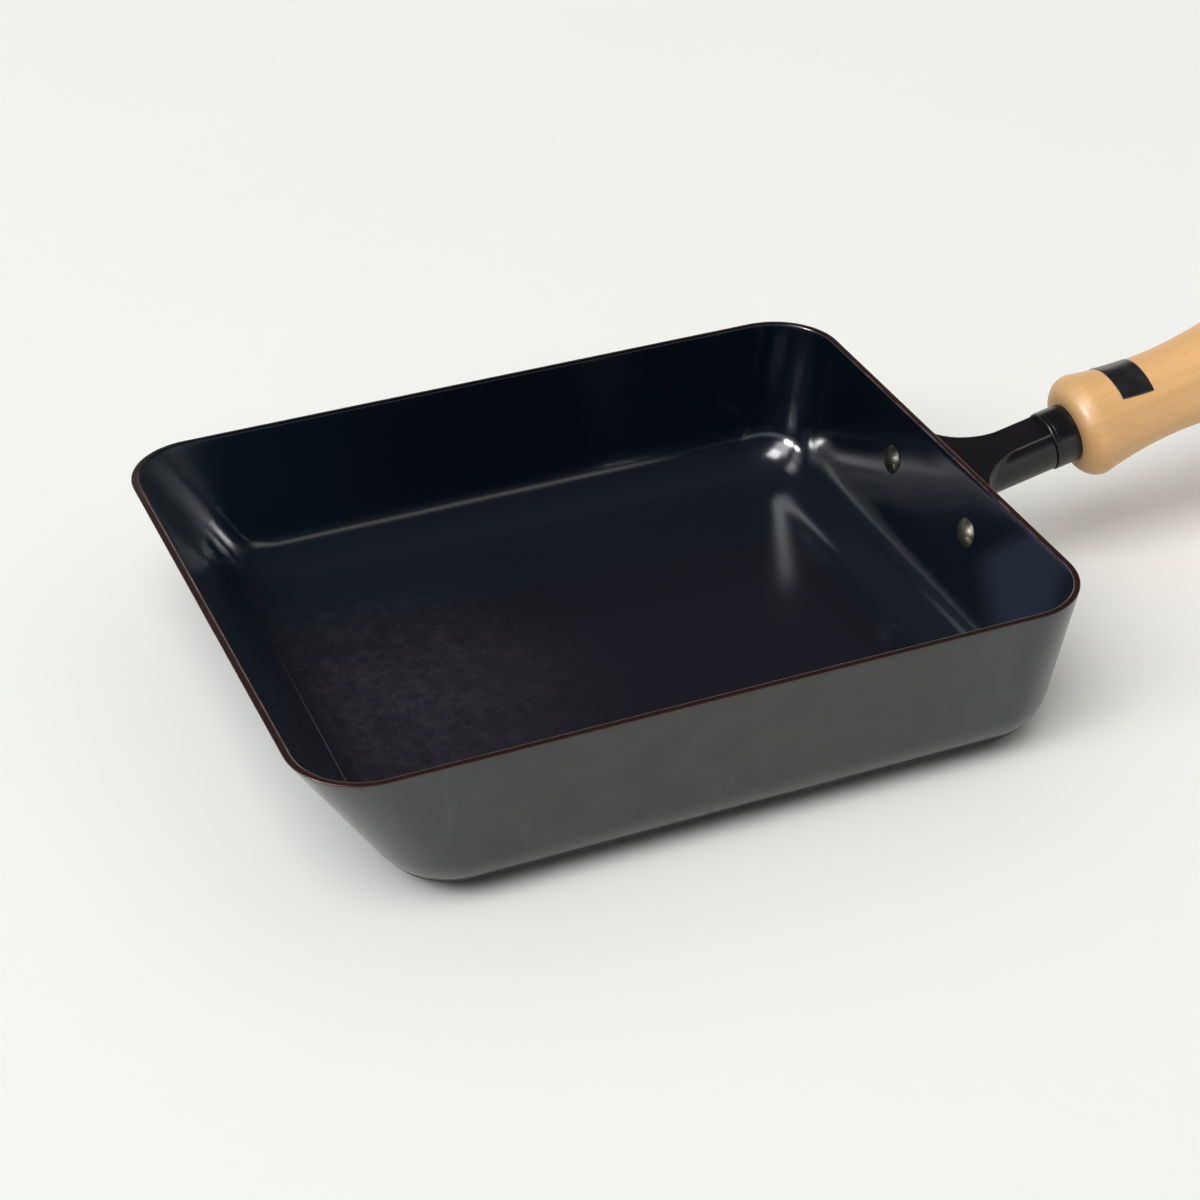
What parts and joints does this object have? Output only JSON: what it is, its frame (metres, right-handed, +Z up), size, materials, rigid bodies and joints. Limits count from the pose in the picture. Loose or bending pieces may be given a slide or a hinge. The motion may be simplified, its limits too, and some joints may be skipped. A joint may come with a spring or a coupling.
{
  "type": "tamagoyaki pan",
  "caption": "Rectangular rolled-omelette pan of black steel sheet with a sloped front wall, a riveted handle bracket and a turned wooden grip.",
  "frame": {"origin": "on the pan's flat underside, straight below the middle of the rim", "axes": "+X towards the handle, +Y to the pan's far side with the handle on the right, +Z up out of the pan"},
  "size_m": [0.3544, 0.153, 0.0739],
  "materials": {
    "black_steel_sheet": "satin",
    "black_forged_steel": "satin",
    "rivet_steel": "satin",
    "bright_steel": "satin",
    "beech": "satin",
    "black_label": "satin"
  },
  "bodies": {
    "root": {"pan_body": "black_steel_sheet", "handle_bracket": "black_forged_steel", "rivet_far": "rivet_steel", "rivet_near": "rivet_steel", "ferrule": "black_forged_steel", "tang_stud": "bright_steel", "handle_grip": "beech", "grip_label": "black_label"}
  },
  "joints": []
}
